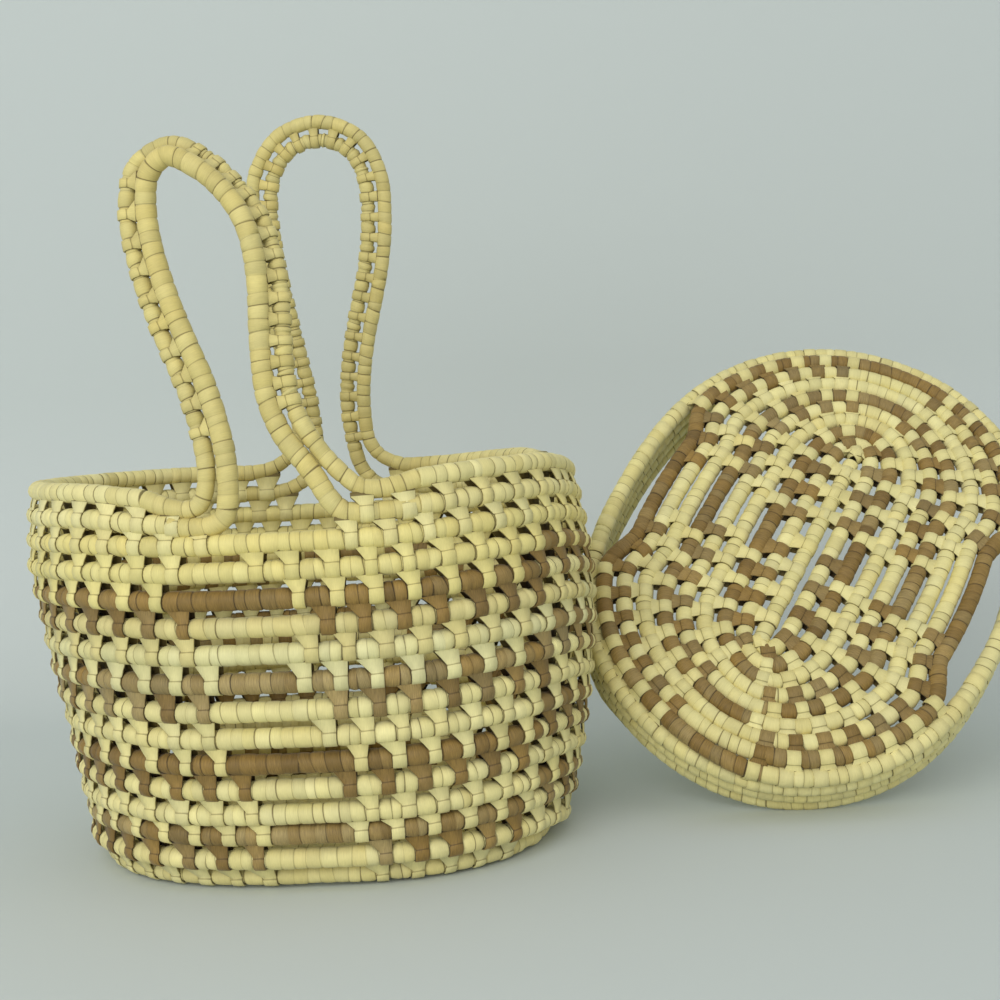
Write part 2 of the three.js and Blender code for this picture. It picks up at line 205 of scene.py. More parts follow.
class LeafSettings(bpy.types.PropertyGroup):
    cream: FloatVectorProperty(
        name="Cream leaf", description="Colour of the undyed leaf", subtype="COLOR",
        size=3, min=0, max=1, default=(0.80, 0.715, 0.315),
    )
    brown: FloatVectorProperty(
        name="Brown leaf", description="Colour of the dyed leaf", subtype="COLOR",
        size=3, min=0, max=1, default=(0.27, 0.168, 0.042),
    )
    wrap_width: FloatProperty(
        name="Wrap width", description="Width of the strip along the coil, in mm",
        default=6.2, min=3, max=12,
    )
    groove: FloatProperty(
        name="Groove", description="Depth of the line between two wraps, in mm",
        default=0.32, min=0, max=1,
    )
    sides: IntProperty(
        name="Sides", description="Points round the coil", default=14, min=8, max=32,
    )


class StageSettings(bpy.types.PropertyGroup):
    floor: FloatVectorProperty(
        name="Floor", description="Colour of the floor and backdrop", subtype="COLOR",
        size=3, min=0, max=1, default=(0.60, 0.655, 0.635),
    )
    key: FloatProperty(
        name="Key lamp", description="Power of the large lamp above the front", unit="POWER",
        default=17.0, min=0,
    )
    fill: FloatProperty(
        name="Sky", description="Strength of the even light all round", default=0.66, min=0,
    )


def smooth(x):
    c = np.clip(x, 0, 1)
    return c * c * (3 - 2 * c)


def unit(v):
    return v / np.maximum(np.linalg.norm(v, axis=-1, keepdims=True), 1e-9)


# The wall seen in section: radius and height against the distance up it
def wall_section():
    s = np.arange(0, SLOPE_TOP + SLOPE_STEP / 2, SLOPE_STEP)
    slope = np.radians(np.interp(s, SLOPE_AT, SLOPE_DEG))
    radius = FOOT_RADIUS + np.concatenate([[0], np.cumsum(np.cos(slope) * SLOPE_STEP)[:-1]])
    height = FLOOR_LIFT + np.concatenate([[0], np.cumsum(np.sin(slope) * SLOPE_STEP)[:-1]])
    return s, radius, height


WALL_S, WALL_RADIUS, WALL_HEIGHT = wall_section()


def section(level):
    s = np.maximum(level, 0) * ROW_PITCH
    radius = np.interp(s, WALL_S, WALL_RADIUS) + np.minimum(level, 0) * BASE_PITCH
    return radius, np.interp(s, WALL_S, WALL_HEIGHT)


def level_at(turns):
    crossing = np.round(turns)
    half = np.where(crossing < 0, BASE_CLIMB_HALF_SHARE, CLIMB_HALF_SHARE)
    return crossing - 1 + smooth((turns - crossing + half) / (2 * half))


def oval(turns, radius, half_run):
    c = np.cos(turns * TURN)
    x = radius * c + half_run * c / np.sqrt(c * c + END_ROUNDING**2)
    return np.stack([x, -radius * np.sin(turns * TURN)], -1)


def uneven(p, level):
    """How far a point of the wall stands off its even form."""
    x, y = p[..., 0], p[..., 1]
    left, right = smooth((-x - 40) / 60), smooth((x - 40) / 80)
    front = np.clip(0.5 - y / 180, 0, 1)
    out = -left * np.interp(level, LEFT_AT, LEFT_OUT) - right * RIGHT_IN * smooth((level - 9) / 7)
    ends = LEFT_LIFT * left + RIGHT_LIFT * right * (0.5 + 0.5 * np.clip(level / 15, 0, 1) ** 2)
    pull = FOOT_PULL * front * np.exp(-((x - FOOT_PULL_AT) / FOOT_PULL_REACH) ** 2)
    up = np.interp(level, LIFT_AT, FRONT_LIFT) * front * smooth(level + 1)
    up = up + ends * smooth(level / 2) - pull * smooth((level - 13) / 1.5)
    return np.stack([out, 0 * out, up], -1)


def basket_point(turns):
    turns = np.asarray(turns, float)
    level = level_at(turns)
    radius, height = section(level)
    xy = oval(turns, radius, START_HALF_RUN)
    even = np.concatenate([xy, height[..., None]], -1)
    return even + uneven(even, level)


RIM_HEIGHT = float(section(WALL_ROWS - 1)[1])


# A place is a point, the way along the coil, the way it faces and the way to the next row
def wall_place(turns):
    p = basket_point(turns)
    along = unit(basket_point(turns + TURN_STEP) - basket_point(turns - TURN_STEP))
    side = unit(np.stack([along[..., 1], -along[..., 0], 0 * along[..., 0]], -1))
    side = side * np.sign(np.sum(side[..., :2] * p[..., :2], -1))[..., None]
    up = np.zeros_like(side)
    up[..., 2] = 1
    return p, along, side, up


def base_place(turns):
    p, along, side, up = wall_place(turns)
    return p, along, -up, side


def blend(at, places, values):
    """Rows of values, read off at some places."""
    return np.stack([np.interp(at, places, column) for column in values.T], -1)


def spline(points, count):
    """Centripetal curve through points, with count + 1 places evenly spaced along it."""
    p = np.asarray(points, float)
    p = np.vstack([2 * p[0] - p[1], p, 2 * p[-1] - p[-2]])
    out = []
    for a, b, c, d in zip(p[:-3], p[1:-2], p[2:-1], p[3:]):
        gaps = [max(np.linalg.norm(v) ** 0.5, 1e-6) for v in (b - a, c - b, d - c)]
        m1 = ((b - a) / gaps[0] - (c - a) / (gaps[0] + gaps[1]) + (c - b) / gaps[1]) * gaps[1]
        m2 = ((c - b) / gaps[1] - (d - b) / (gaps[1] + gaps[2]) + (d - c) / gaps[2]) * gaps[1]
        t = np.linspace(0, 1, 24, endpoint=False)[:, None]
        out.append(
            (2 * t**3 - 3 * t**2 + 1) * b + (t**3 - 2 * t**2 + t) * m1
            + (3 * t**2 - 2 * t**3) * c + (t**3 - t**2) * m2
        )
    curve = np.vstack([*out, p[-2:-1]])
    s = np.concatenate([[0], np.cumsum(np.linalg.norm(np.diff(curve, axis=0), axis=1))])
    at = np.linspace(0, s[-1], count + 1)
    return blend(at, s, curve)


class Route:
    """A coil's line, found by the distance along it."""

    def __init__(self, place, start, end):
        self.place = place
        self.turns = np.linspace(start, end, int(abs(end - start) * DENSE) + 60)
        p = place(self.turns)[0]
        steps = np.linalg.norm(np.diff(p, axis=0), axis=1)
        self.run = np.concatenate([[0], np.cumsum(steps)])
        self.length = self.run[-1]

    def at(self, run):
        return self.place(np.interp(run, self.run, self.turns))

    def run_at(self, turns):
        return np.interp(turns, self.turns, self.run)


class PointRoute(Route):
    """The same through points, which face one way."""

    def __init__(self, points, facing):
        p = np.asarray(points, float)
        self.run = np.concatenate([[0], np.cumsum(np.linalg.norm(np.diff(p, axis=0), axis=1))])
        self.length = self.run[-1]
        along = unit(np.gradient(p, axis=0))
        facing = np.broadcast_to(facing, p.shape)
        facing = unit(facing - np.sum(facing * along, -1, keepdims=True) * along)
        away = np.cross(along, facing)
        self.values = [p, along, facing, away]

    def at(self, run):
        return [blend(run, self.run, v) for v in self.values]


# Leaf tones, mixed for each wrap
STRAW = np.array([0.74, 0.60, 0.19])
PALE = np.array([0.87, 0.81, 0.42])
GREEN = np.array([0.68, 0.66, 0.28])
GOLD = np.array([0.36, 0.235, 0.07])
DARK = np.array([0.15, 0.092, 0.03])
GREY = np.array([0.38, 0.295, 0.125])


def mixed_tones(base, others, weights, slow, quick):
    tone = np.repeat(np.array(base)[None], len(quick), 0)
    for k, (other, weight) in enumerate(zip(others, weights)):
        share = np.clip(weight * (quick[:, k] + 0.5 * slow[:, k]), 0, 0.85)[:, None]
        tone = tone * (1 - share) + other * share
    return tone


def leaf_tones(brown, greyness=0.3, tint=(1, 1, 1)):
    """A colour for each wrap, brown where asked, with slow and quick changes along the coil."""
    leaf = bpy.context.scene.basket_leaf
    brown = np.asarray(brown, bool)
    count = len(brown)
    slow = np.cumsum(rng.normal(0, 1, (count, 3)), axis=0)
    slow = slow - np.linspace(0, 1, count)[:, None] * slow[-1]
    slow = slow / (np.abs(slow).max() + 1e-6)
    quick = rng.uniform(0, 1, (count, 3)) ** 2
    cream = mixed_tones(leaf.cream, (STRAW, PALE, GREEN), (0.30, 0.45, 0.16), slow, quick)
    dyed = mixed_tones(leaf.brown, (GOLD, DARK, GREY), (0.4, 0.40, greyness * 2), slow, quick)
    tone = np.where(brown[:, None], dyed, cream * np.array(tint))
    spread = np.where(brown, 0.10, 0.045)[:, None]
    return tone * np.clip(1 + rng.normal(0, 1, (count, 1)) * spread, 0.7, 1.3)


def make_object(name, verts, faces, tones, leaf_run, groove, materials, body):
    mesh = bpy.data.meshes.new(name)
    faces = [f for f in faces if len(f)]
    loops = np.concatenate([f.ravel() for f in faces])
    totals = np.concatenate([np.full(len(f), f.shape[1]) for f in faces])
    mesh.vertices.add(len(verts))
    mesh.vertices.foreach_set("co", (verts * MM).astype(np.float32).ravel())
    mesh.loops.add(len(loops))
    mesh.loops.foreach_set("vertex_index", loops.astype(np.int32))
    mesh.polygons.add(len(totals))
    starts = np.concatenate([[0], np.cumsum(totals)[:-1]])
    mesh.polygons.foreach_set("loop_start", starts.astype(np.int32))
    mesh.polygons.foreach_set("loop_total", totals.astype(np.int32))
    mesh.polygons.foreach_set("use_smooth", np.ones(len(totals), bool))
    tone = mesh.attributes.new("leaf_tone", "FLOAT_COLOR", "POINT")
    rgba = np.concatenate([tones, np.ones((len(tones), 1))], 1)
    tone.data.foreach_set("color", rgba.astype(np.float32).ravel())
    run = mesh.attributes.new("leaf_run", "FLOAT_VECTOR", "POINT")
    run.data.foreach_set("vector", leaf_run.astype(np.float32).ravel())
    # groove: how dark the painted shade is at a point, in grooves between wraps and along strap edges
    # and creases
    line = mesh.attributes.new("groove", "FLOAT", "POINT")
    line.data.foreach_set("value", groove.astype(np.float32))
    mesh.validate(clean_customdata=False)
    mesh.update(calc_edges=True)
    obj = bpy.data.objects.new(name, mesh)
    bpy.context.scene.collection.objects.link(obj)
    mesh.materials.append(materials)
    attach(obj, body)
    return obj


def tube_faces(rings, sides):
    i = np.arange(rings - 1)[:, None] * sides
    k = np.arange(sides)[None]
    a = i + k
    b = i + (k + 1) % sides
    return np.stack([a, b, b + sides, a + sides], -1).reshape(-1, 4)


# A wrap, along the coil: its edge in the groove, its shoulder, its middle and its far shoulder
WRAP_SHARES = np.array([0, 0.12, 0.45, 0.88])
BAND_HALF = 3.3
FRONT_BAND = 3.2
BACK_BAND = 4.1
BEAD_DIP = 0.35
BEAD_ROUND = 1.3
BEAD_FADE = 0.6


def wrap_cuts(start, end, width, bands):
    """Where each wrap starts, and whether a stitch hides it."""
    edges = [start]
    for b in sorted(bands):
        if b - BAND_HALF > edges[-1] + 0.8 and b + BAND_HALF < end - 0.8:
            edges += [b - BAND_HALF, b + BAND_HALF]
    edges.append(end)
    cuts, hidden = [], []
    for k, (a, b) in enumerate(zip(edges[:-1], edges[1:])):
        count = 1 if k % 2 else max(1, int(round((b - a) / width)))
        inner = (np.arange(count) + np.append(0, rng.uniform(-0.22, 0.22, count - 1))) / count
        cuts += list(a + inner * (b - a))
        hidden += [bool(k % 2)] * count
    return np.array([*cuts, end]), np.array(hidden), np.array(edges[1:-1])


def swelling(runs, edges, buried, bead):
    """How far the coil bulges beside a stitch's band, and dips under it."""
    if not len(edges):
        return np.zeros(len(runs))
    near = np.abs(runs[:, None] - edges[None]).min(1)
    round_off = (bead + BEAD_DIP) * smooth(near / BEAD_ROUND) - BEAD_DIP
    swell = np.where(buried, -BEAD_DIP, np.where(near < STITCH_PITCH, round_off, 0))
    fade = np.exp(-(near / STITCH_PITCH - BEAD_FADE) * 2)
    return np.where(near > STITCH_PITCH * BEAD_FADE, swell * fade, swell)


def closed_tube(rings, sides):
    """Faces of a tube, with a point after its rings for the middle of each end."""
    k = np.arange(sides)
    first, last = np.full(sides, rings * sides), (rings - 1) * sides
    first_cap = np.stack([first, (k + 1) % sides, k], -1)
    last_cap = np.stack([first + 1, last + k, last + (k + 1) % sides], -1)
    return [tube_faces(rings, sides), first_cap, last_cap]


def wrap_values(cuts, hidden, dyed, greyness, tint):
    """Four places for each wrap: run, lift, groove shade (how dark the painted shade in its groove
    is), tone, shift, tilt and whether it is hidden.
    """
    groove = bpy.context.scene.basket_leaf.groove
    count = len(hidden)
    runs = (cuts[:-1, None] + np.diff(cuts)[:, None] * WRAP_SHARES).ravel()
    depth = groove * rng.uniform(0.5, 1.15, count)
    step = rng.normal(0, 0.06, count)
    lifts = np.stack([-depth, 0.05 + step, 0.12 + step, 0.02 + step], -1)
    lifts[hidden] = -0.1
    # How dark the painted shade in each wrap's groove is
    line = np.stack([rng.uniform(0.45, 1, count), *[np.zeros(count)] * 3], -1).ravel()
    tone = np.repeat(leaf_tones(dyed, greyness, tint), 4, 0)
    shift = np.repeat(rng.uniform(0, 400, count), 4)
    tilt = np.repeat(np.where(hidden, 0, 0.35 + rng.normal(0, 0.35, count)), 4)
    values = (runs, lifts.ravel(), line, tone, shift, tilt, np.repeat(hidden, 4))
    values = [np.concatenate([v, v[-1:]]) for v in values]
    values[0][-1] = cuts[-1]
    return values


def wound_coil(name, route, brown, body, node, half_width, half_height,
               bands=(), greyness=0.3, taper=None, bead=0.25, foot=0, tint=(1, 1, 1)):
    """A route of coil as wraps of leaf, each with its own tone and a groove before it, darkened with
    painted shade.

    brown says whether the wrap at a run is dyed, foot over how long each end thins."""
    leaf = bpy.context.scene.basket_leaf
    sides, end = leaf.sides, route.length
    cuts, hidden, edges = wrap_cuts(0, end, leaf.wrap_width, bands)
    dyed = brown((cuts[:-1] + cuts[1:]) / 2)
    runs, lifts, line, tone, shift, tilt, buried = wrap_values(cuts, hidden, dyed, greyness, tint)
    scale = np.ones(len(runs))
    if taper is not None:
        scale = TIP_SCALE + (1 - TIP_SCALE) * smooth((end - runs) / taper)
        tone = tone * (0.35 + 0.65 * smooth((end - runs) / (0.4 * taper)))[:, None]
    from_end = np.minimum(runs, end - runs)
    full = 1 - smooth((from_end - FOOT_FULL) / foot) if foot else np.zeros(len(runs))
    wide = half_width + (COIL_HALF_WIDTH - half_width) * full
    high = half_height + (COIL_HALF_HEIGHT - half_height) * full
    p, along, facing, away = (v[:, None] for v in route.at(runs))
    angle = np.arange(sides) / sides * TURN
    ca, sa = np.cos(angle)[None, :, None], np.sin(angle)[None, :, None]
    rise = lifts + swelling(runs, edges, buried, bead)
    wide, high = (((v + rise) * scale)[:, None, None] for v in (wide, high))
    skew = (tilt * np.minimum(from_end / 2, 1))[:, None, None]
    rings = p + facing * ca * wide + away * sa * high + along * sa * skew
    n = len(runs)
    verts = np.vstack([rings.reshape(-1, 3), p[0], p[-1]])
    coords = np.stack([
        np.broadcast_to((runs + shift)[:, None], (n, sides)),
        np.broadcast_to(np.cos(angle)[None] * half_width, (n, sides)),
        np.broadcast_to(np.sin(angle)[None] * half_height, (n, sides)),
    ], -1).reshape(-1, 3)
    coords = np.vstack([coords, coords[:1], coords[-1:]])
    tones = np.vstack([np.repeat(tone, sides, 0), tone[:1], tone[-1:]])
    # Painted shade in the groove before each wrap, and half of it at the middle of each end
    lines = np.concatenate([np.repeat(line, sides), [0.5, 0.5]])
    material = leaf_material("brown" if np.mean(dyed) > 0.5 else "cream")
    obj = make_object(name, verts, closed_tube(n, sides), tones, coords, lines, material, body)
    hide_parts(node)


def plain(runs):
    """Undyed leaf all along."""
    return np.zeros(len(runs), bool)


# A stitch, seen along the coil: it comes out low on the upper coil's face, hangs across the
# gap as a fan and goes round the lower coil as a band. Each place is an angle on its coil,
# how far it stands off the coil, how much of the fan it has and how dark the painted shade
# line is, where the strap tucks under the upper coil and creases over the lower one.
UPPER_PLACES = ((-38, -1.5, 1, 1), (-50, -0.05, 1, 1), (-54, 0.18, 0.97, 0.1))
GAP_PLACE = (0.46, 0)
LOWER_PLACES = (
    (44, 0.3, 0.02, 0), (34, 0.4, -0.06, 0.75), (27, 0.45, 0, 0), (2, 0.45, 0, 0), (-28, 0.45, 0, 0),
    (-55, 0.45, 0, 0),
)

# Across a strap, from edge to edge: how far it stands off its middle and how dark the painted shade
# is, darkest at its tucked edges
STRAP_THICKNESS = np.array([-0.8, 0, 0.06, 0, -0.8])
STRAP_EDGE_SHADE = np.array([1, 0.3, 0, 0.3, 1])


def stitch_section(low_size, high_size, gap):
    """The stitch's places across the coil and up from the lower coil, front face only."""
    def on(size, places):
        angle, rise = np.array([place[:2] for place in places]).T
        angle = np.radians(angle)
        ring = np.stack([np.cos(angle) * (size[0] + rise), np.sin(angle) * (size[1] + rise)], -1)
        return np.repeat(ring[None], len(gap), 0)

    upper, lower = on(high_size, UPPER_PLACES), on(low_size, LOWER_PLACES)
    upper[..., 1] += gap[:, None]
    middle = (upper[:, -1:] + lower[:, :1]) / 2 + np.array([0.2, 0])
    bottom = np.array([0, -(low_size[1] + LOWER_PLACES[-1][1])])
    bottom = np.repeat(bottom[None, None], len(gap), 0)
    face = np.concatenate([upper, middle, lower], 1)
    return np.concatenate([face, bottom, face[:, ::-1] * np.array([-1, 1])], 1)


def both_faces(values):
    return np.array([*values, 0, *values[::-1]])


def strap_faces(count, rings):
    """Quads and end caps of straps that are each a five-sided tube."""
    sides = 5
    quads = tube_faces(rings, sides)
    caps = np.array([[4, 3, 2, 1, 0], [(rings - 1) * sides + k for k in range(sides)]])
    first = np.arange(count)[:, None, None] * (rings * sides)
    return [(first + quads[None]).reshape(-1, 4), (first + caps[None]).reshape(-1, sides)]


def stitches(name, low, high, along, brown, body, sizes, asym, fan=5.2, band=3.25,
             greyness=0.3, tint=(1, 1, 1)):
    """Straps that leave the underside of the upper coil as a fan and go round the lower coil."""
    m = len(low)
    if not m:
        return
    away = high - low
    away = away - np.sum(away * along, -1, keepdims=True) * along
    gap = np.linalg.norm(away, axis=-1)
    away = unit(away)
    facing = np.cross(away, along)
    loop = stitch_section(*sizes, gap)
    n = loop.shape[1]
    centre = low[:, None] + facing[:, None] * loop[..., :1] + away[:, None] * loop[..., 1:]
    ahead = unit(np.gradient(centre, axis=1))
    normal = unit(np.cross(np.broadcast_to(along[:, None], ahead.shape), ahead))
    spine = low[:, None] + away[:, None] * np.clip(loop[..., 1], 0, gap[:, None])[..., None]
    outwards = np.sum(normal * (centre - spine), -1, keepdims=True)
    normal = normal * np.where(outwards < 0, -1, 1)
    places = [*UPPER_PLACES, (0, 0, *GAP_PLACE), *LOWER_PLACES]
    extra = both_faces([place[2] for place in places])
    wide = fan * rng.uniform(0.8, 1.15, (m, 1)) * (gap[:, None] / ROW_PITCH)
    asym = np.clip(np.broadcast_to(asym, (m,)) + rng.normal(0, 0.07, m), 0, 1)[:, None]
    half = np.broadcast_to(band, (m,))[:, None] * rng.uniform(0.88, 1.1, (m, 1))
    left = half + extra[None] * wide * asym
    right = half + extra[None] * wide * (1 - asym)
    across = np.stack([-right, -right + 0.25, (left - right) / 2, left - 0.25, left], -1)
    verts = (centre[:, :, None] + along[:, None, None] * across[..., None]
             + normal[:, :, None] * STRAP_THICKNESS[None, None, :, None]).reshape(-1, 3)
    tones = np.repeat(leaf_tones(np.full(m, brown), greyness, tint), len(verts) // m, 0)
    steps = np.linalg.norm(np.diff(centre, axis=1), axis=-1)
    reach = np.concatenate([np.zeros((m, 1)), np.cumsum(steps, axis=1)], 1)
    shift = rng.uniform(0, 400, (m, 1, 1))
    coords = np.stack([across + shift, np.broadcast_to(reach[..., None], across.shape),
                       np.zeros(across.shape)], -1).reshape(-1, 3)
    # Painted shade: dark lines along the strap's edges and at its creases, where it tucks under the
    # upper coil and bends over the lower one
    crease_shade = both_faces([place[3] for place in places])[None, :, None]
    lines = np.maximum(STRAP_EDGE_SHADE[None, None], np.broadcast_to(crease_shade, (m, n, 1))).ravel()
    material = leaf_material("brown" if brown else "cream")
    make_object(name, verts, strap_faces(m, n), tones, coords, lines, material, body)


def add_node(tree, kind, values=(), **settings):
    node = tree.nodes.new(f"ShaderNode{kind}")
    for key, value in settings.items():
        setattr(node, key, value)
    for key, value in dict(values).items():
        node.inputs[key].default_value = value
    return node


def map_range(tree, source, low, high, to_low, to_high):
    values = {"From Min": low, "From Max": high, "To Min": to_low, "To Max": to_high}
    node = add_node(tree, "MapRange", values)
    tree.links.new(source, node.inputs["Value"])
    return node.outputs["Result"]


def leaf_colour(tree, fibre, run, brown):
    """Each wrap's tone with fine fibres, broad stains and painted shade in the grooves, along strap
    edges and in creases.
    """
    link = tree.links.new
    tone = add_node(tree, "Attribute", attribute_name="leaf_tone")
    groove = add_node(tree, "Attribute", attribute_name="groove")
    low, high = (0.68, 1.32) if brown else (0.90, 1.06)
    streaks = map_range(tree, fibre, 0.32, 0.70, low, high)
    stain = add_node(tree, "TexNoise", {"Scale": 0.11, "Detail": 3})
    link(run, stain.inputs["Vector"])
    patches = map_range(tree, stain.outputs["Fac"], 0.35, 0.70, 1.04, 0.90)
    shade = add_node(tree, "Math", operation="MULTIPLY")
    link(streaks, shade.inputs[0])
    link(patches, shade.inputs[1])
    leaf = add_node(tree, "VectorMath", operation="SCALE")
    link(tone.outputs["Color"], leaf.inputs[0])
    link(shade.outputs[0], leaf.inputs["Scale"])
    # Painted shade: grooves, strap edges and creases are mixed towards a near-black brown
    colour = add_node(tree, "Mix", data_type="RGBA")
    colour.inputs["B"].default_value = (0.03, 0.017, 0.006, 1) if brown else (0.13, 0.09, 0.022, 1)
    link(map_range(tree, groove.outputs["Fac"], 0.35, 0.9, 0, 0.92), colour.inputs["Factor"])
    link(leaf.outputs[0], colour.inputs["A"])
    return colour.outputs["Result"]


def leaf_material(kind):
    """Palm leaf: a tone for each wrap, fine fibres along the strip, painted shade lines between
    wraps.
    """
    name = f"{kind}_palm_leaf"
    if name in bpy.data.materials:
        return bpy.data.materials[name]
    material = bpy.data.materials.new(name)
    material.use_nodes = True
    material["slot"] = f"{kind}_leaf"
    tree = material.node_tree
    link = tree.links.new
    shader = tree.nodes["Principled BSDF"]
    run = add_node(tree, "Attribute", attribute_name="leaf_run").outputs["Vector"]
    # Fibres run along the strip, and so round the coil
    stretch = add_node(tree, "VectorMath", {1: (2.6, 0.12, 0.12)}, operation="MULTIPLY")
    link(run, stretch.inputs[0])
    noise = add_node(tree, "TexNoise", {"Scale": 1.6, "Detail": 4, "Roughness": 0.62})
    link(stretch.outputs[0], noise.inputs["Vector"])
    fibre = noise.outputs["Fac"]
    link(leaf_colour(tree, fibre, run, kind == "brown"), shader.inputs["Base Color"])
    link(map_range(tree, fibre, 0, 1, 0.50, 0.72), shader.inputs["Roughness"])
    bump = add_node(tree, "Bump", {"Strength": 0.45, "Distance": 0.00035})
    link(fibre, bump.inputs["Height"])
    link(bump.outputs["Normal"], shader.inputs["Normal"])
    shader.inputs["Specular IOR Level"].default_value = 0.35
    shader.inputs["Sheen Weight"].default_value = 0.08
    shader.inputs["Sheen Roughness"].default_value = 0.4
    return material


# Where the stitches stand along the whole spiral, as turns on the upper coil
def turns_at_x(row, x, behind):
    low = row - 1 + (0.5 if behind else CLIMB_HALF_SHARE)
    high = row - 1 + (1 - CLIMB_HALF_SHARE if behind else 0.5)
    turns = np.linspace(low, high, 2000)
    xs = basket_point(turns)[:, 0]
    return float(np.interp(x, xs if behind else xs[::-1], turns if behind else turns[::-1]))


BASKET = Route(wall_place, -BASE_TURNS + BASE_CLIMB_HALF_SHARE, WALL_ROWS)


def wall_stitch_turns():
    stops = []
    for level in range(1, WALL_ROWS - 1):
        row = level + 1
        left, right = FREE_FRONT[WALL_ROWS + 1 - level]
        back = FREE_BACK_HALF * rng.uniform(0.8, 1.2)
        shift = rng.uniform(-6, 6)
        stops.append((turns_at_x(row, right, False), turns_at_x(row, left, False)))
        left, right = HANDLE_GAP_BACK if row == WALL_ROWS - 1 else (shift - back, shift + back)
        stops.append((turns_at_x(row, left, True), turns_at_x(row, right, True)))
    found = []
    first = 1 + TURN_CUT + 0.004
    last = WALL_ROWS - 1 + TURN_CUT
    edges = [first, *[t for stop in stops for t in stop], last]
    for a, b in zip(edges[::2], edges[1::2]):
        ra, rb = BASKET.run_at(a) + STITCH_EDGE, BASKET.run_at(b) - STITCH_EDGE
        count = max(2, int(round((rb - ra) / STITCH_PITCH)) + 1)
        runs = np.linspace(ra, rb, count)
        runs[1:-1] += rng.normal(0, 0.6, count - 2)
        found.append(np.interp(runs, BASKET.run, BASKET.turns))
    return np.concatenate(found)


WALL_STITCHES = wall_stitch_turns()


def base_stitch_turns():
    runs = np.arange(BASKET.run_at(-BASE_TURNS + 1.05), BASKET.run_at(1 + TURN_CUT), STITCH_PITCH)
    turns = np.interp(runs, BASKET.run, BASKET.turns)
    past = (turns * 4) % 1
    return turns[np.abs(past - 0.5) < 0.36]


BASE_STITCHES = base_stitch_turns()


def is_brown(turns):
    """The strip changes colour a little way into each turn."""
    return np.isin(np.floor(np.asarray(turns) - COLOUR_LAG) + 1, BROWN_ROWS)


def weave_row(name, node, start, end, place, stitch_on, size,
              greyness=0.3, taper=None, tint=(1, 1, 1)):
    route = Route(place, start, end)
    bands = [route.run_at(t) for t in stitch_on if start < t < end]
    wound_coil(name, route, lambda runs: is_brown(np.interp(runs, route.run, route.turns)),
               "basket", node, *size, bands, greyness, taper, tint=tint)


def hooked(points, start_half_run, lift):
    """A straight start run that bends round at its end, in its plane."""
    plan = spline([(-start_half_run, 0), (0, 0), (start_half_run, 0), *points], 60)
    return np.column_stack([plan, np.full(len(plan), lift)])


def weave_base():
    line = hooked(BASE_HOOK, BASE_START_HALF_RUN, FLOOR_LIFT)
    route = PointRoute(line, (0, 0, -1.0))
    wound_coil("base_start_wraps", route, plain, "basket", "base_start_run",
               BASE_HALF_HEIGHT, BASE_HALF_HEIGHT)
    for turn in range(1, BASE_TURNS + 1):
        start = turn - 1 - BASE_TURNS + (BASE_CLIMB_HALF_SHARE if turn == 1 else TURN_CUT)
        end = turn - BASE_TURNS + TURN_CUT
        weave_row(f"base_wraps_{turn}", f"base_coil_{turn}", start, end, base_place,
                  BASE_STITCHES - 1, (BASE_HALF_HEIGHT, COIL_HALF_WIDTH))
    for turn in range(2, BASE_TURNS + 2):
        start = turn - 1 - BASE_TURNS + TURN_CUT
        chosen = BASE_STITCHES[(BASE_STITCHES >= start) & (BASE_STITCHES < start + 1)]
        p, along = basket_point(chosen), wall_place(chosen)[1]
        size = (BASE_HALF_HEIGHT - 0.2, COIL_HALF_WIDTH)
        stitches(f"base_stitches_{turn}", basket_point(chosen - 1), p, along, False, "basket",
                 (size, size), 0.5, fan=BASE_FAN)


def side_lean(turns):
    """How far a fan leans: its right edge is upright at the front, its middle at the left end."""
    place = turns % 1
    return np.where(place < 0.5, 0.95 - 0.45 * smooth((place - 0.29) / 0.12), 0.6)


# How grey the dyed leaf is, and the tint of the undyed leaf, row by row
GREYNESS = {3: 0.45, 6: 0.1, 9: 0.6, 12: 0.15}
TINT = {
    14: (1.0, 0.98, 0.86), 13: (1.0, 0.98, 0.86), 11: (0.88, 0.86, 0.82), 10: (0.96, 1.0, 1.1),
    4: (1.02, 1.02, 1.02), 1: (0.95, 0.93, 0.88),
}
HANDLE_TINT = (0.86, 0.82, 0.70)


def row_tint(row):
    return TINT.get(row, (1, 1, 1))


def rim_point(turns, row):
    """A point of a rim row, or of the handle's foot where that row is cut."""
    p = basket_point(turns)
    x = p[:, 0]
    which = "outer" if row == WALL_ROWS else "inner"
    for handle, sign in ((FRONT_HANDLE, -1), (BACK_HANDLE, 1)):
        left, right = np.array(handle[which][0][:5]), np.array(handle[which][1][-5:])
        height = np.where(x < 0, np.interp(x, *left.T), np.interp(x, *right.T))
        on_foot = (p[:, 1] * sign > 0) & (x > left[0, 0]) & (x < right[-1, 0])
        p[on_foot, 2] = RIM_HEIGHT + height[on_foot]
    return p


def row_stitches(row, name, chosen):
    """Stitches that leave one row for the row below it."""
    high = rim_point(chosen, row) if row >= WALL_ROWS - 1 else basket_point(chosen)
    low = rim_point(chosen - 1, row - 1) if row == WALL_ROWS else basket_point(chosen - 1)
    size = (COIL_HALF_WIDTH, COIL_HALF_HEIGHT)
    band = np.where(chosen % 1 < 0.5, FRONT_BAND, BACK_BAND)
    stitches(name, low, high, wall_place(chosen)[1], row in BROWN_ROWS, "basket", (size, size),
             side_lean(chosen), band=band, greyness=GREYNESS.get(row, 0.3), tint=row_tint(row))


def wall_row_stitches(row):
    from_turn = row - 1 + COLOUR_LAG
    chosen = WALL_STITCHES[(WALL_STITCHES >= from_turn) & (WALL_STITCHES < from_turn + 1)]
    row_stitches(row, f"wall_stitches_{row:02d}", chosen)


